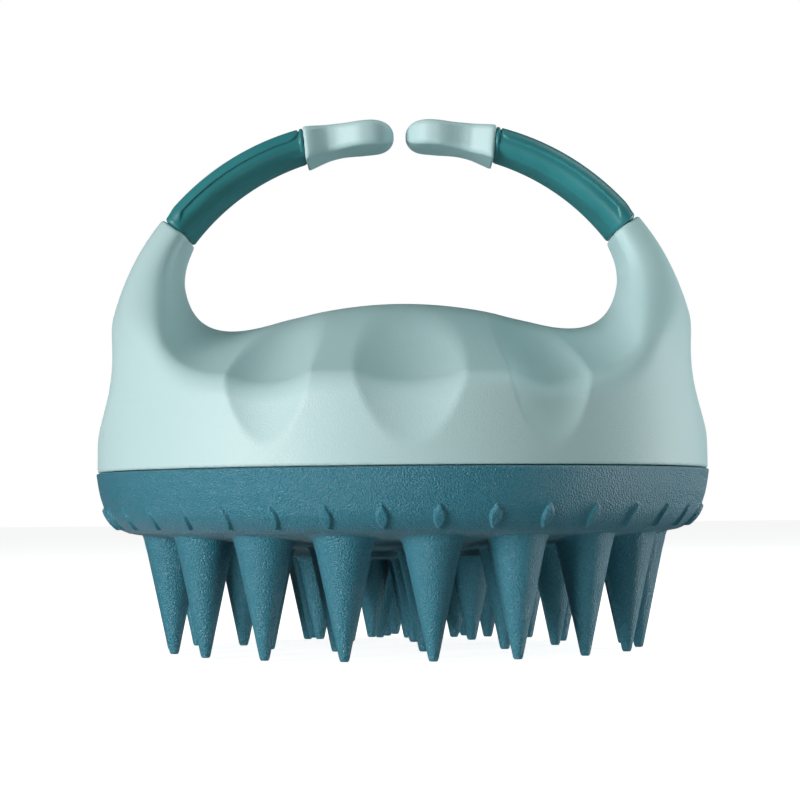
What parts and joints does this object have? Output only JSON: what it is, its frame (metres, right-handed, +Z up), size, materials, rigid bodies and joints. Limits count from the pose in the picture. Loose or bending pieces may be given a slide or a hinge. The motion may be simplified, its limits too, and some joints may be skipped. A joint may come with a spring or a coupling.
{
  "type": "scalp massager brush",
  "caption": "Round hand-held scalp massager with soft conical bristles under a domed shell and a sprung split loop handle.",
  "frame": {"origin": "on the brush's vertical axis, in the plane of the outer bristle tips that it stands on", "axes": "+Z up through the handle, +X towards the right arm, -Y towards the front"},
  "size_m": [0.0868, 0.0868, 0.0745],
  "materials": {
    "mint_shell": "satin, fine moulded grain",
    "mint_inner": "plain moulded",
    "teal_silicone": "matte silicone with a fine sparkle",
    "teal_sleeve": "satin soft-touch",
    "steel_screw": "zinc plated"
  },
  "bodies": {
    "brush_body": {"upper_shell": "mint_shell", "base_plate": "mint_inner", "bristle_pad": "teal_silicone", "bristle_outer_01": "teal_silicone", "bristle_outer_02": "teal_silicone", "bristle_outer_03": "teal_silicone", "bristle_outer_04": "teal_silicone", "bristle_outer_05": "teal_silicone", "bristle_outer_06": "teal_silicone", "bristle_outer_07": "teal_silicone", "bristle_outer_08": "teal_silicone", "bristle_outer_09": "teal_silicone", "bristle_outer_10": "teal_silicone", "bristle_outer_11": "teal_silicone", "bristle_outer_12": "teal_silicone", "bristle_outer_13": "teal_silicone", "bristle_outer_14": "teal_silicone", "bristle_outer_15": "teal_silicone", "bristle_outer_16": "teal_silicone", "bristle_outer_17": "teal_silicone", "bristle_outer_18": "teal_silicone", "bristle_middle_01": "teal_silicone", "bristle_middle_02": "teal_silicone", "bristle_middle_03": "teal_silicone", "bristle_middle_04": "teal_silicone", "bristle_middle_05": "teal_silicone", "bristle_middle_06": "teal_silicone", "bristle_middle_07": "teal_silicone", "bristle_middle_08": "teal_silicone", "bristle_middle_09": "teal_silicone", "bristle_middle_10": "teal_silicone", "bristle_middle_11": "teal_silicone", "bristle_middle_12": "teal_silicone", "bristle_inner_01": "teal_silicone", "bristle_inner_02": "teal_silicone", "bristle_inner_03": "teal_silicone", "bristle_inner_04": "teal_silicone", "bristle_inner_05": "teal_silicone", "bristle_inner_06": "teal_silicone", "bristle_inner_07": "teal_silicone", "bristle_inner_08": "teal_silicone", "bristle_centre_01": "teal_silicone", "bristle_centre_02": "teal_silicone", "bristle_centre_03": "teal_silicone", "bristle_centre_04": "teal_silicone", "bristle_centre_05": "teal_silicone", "screw_1": "steel_screw", "screw_2": "steel_screw", "screw_3": "steel_screw", "screw_4": "steel_screw"},
    "left_arm": {"left_arm_core": "mint_inner", "left_grip_sleeve": "teal_sleeve", "left_arm_tip": "mint_shell"},
    "right_arm": {"right_arm_core": "mint_inner", "right_grip_sleeve": "teal_sleeve", "right_arm_tip": "mint_shell"}
  },
  "joints": [
    {"name": "left_arm_flex", "type": "hinge", "parent": "brush_body", "child": "left_arm", "pos_m": [-0.03282, 0, 0.05744], "axis": [0, -1, 0], "range_deg": [-3, 10], "stiffness_Nm_per_rad": 2},
    {"name": "right_arm_flex", "type": "hinge", "parent": "brush_body", "child": "right_arm", "pos_m": [0.03282, 0, 0.05744], "axis": [0, 1, 0], "range_deg": [-3, 10], "stiffness_Nm_per_rad": 2}
  ]
}
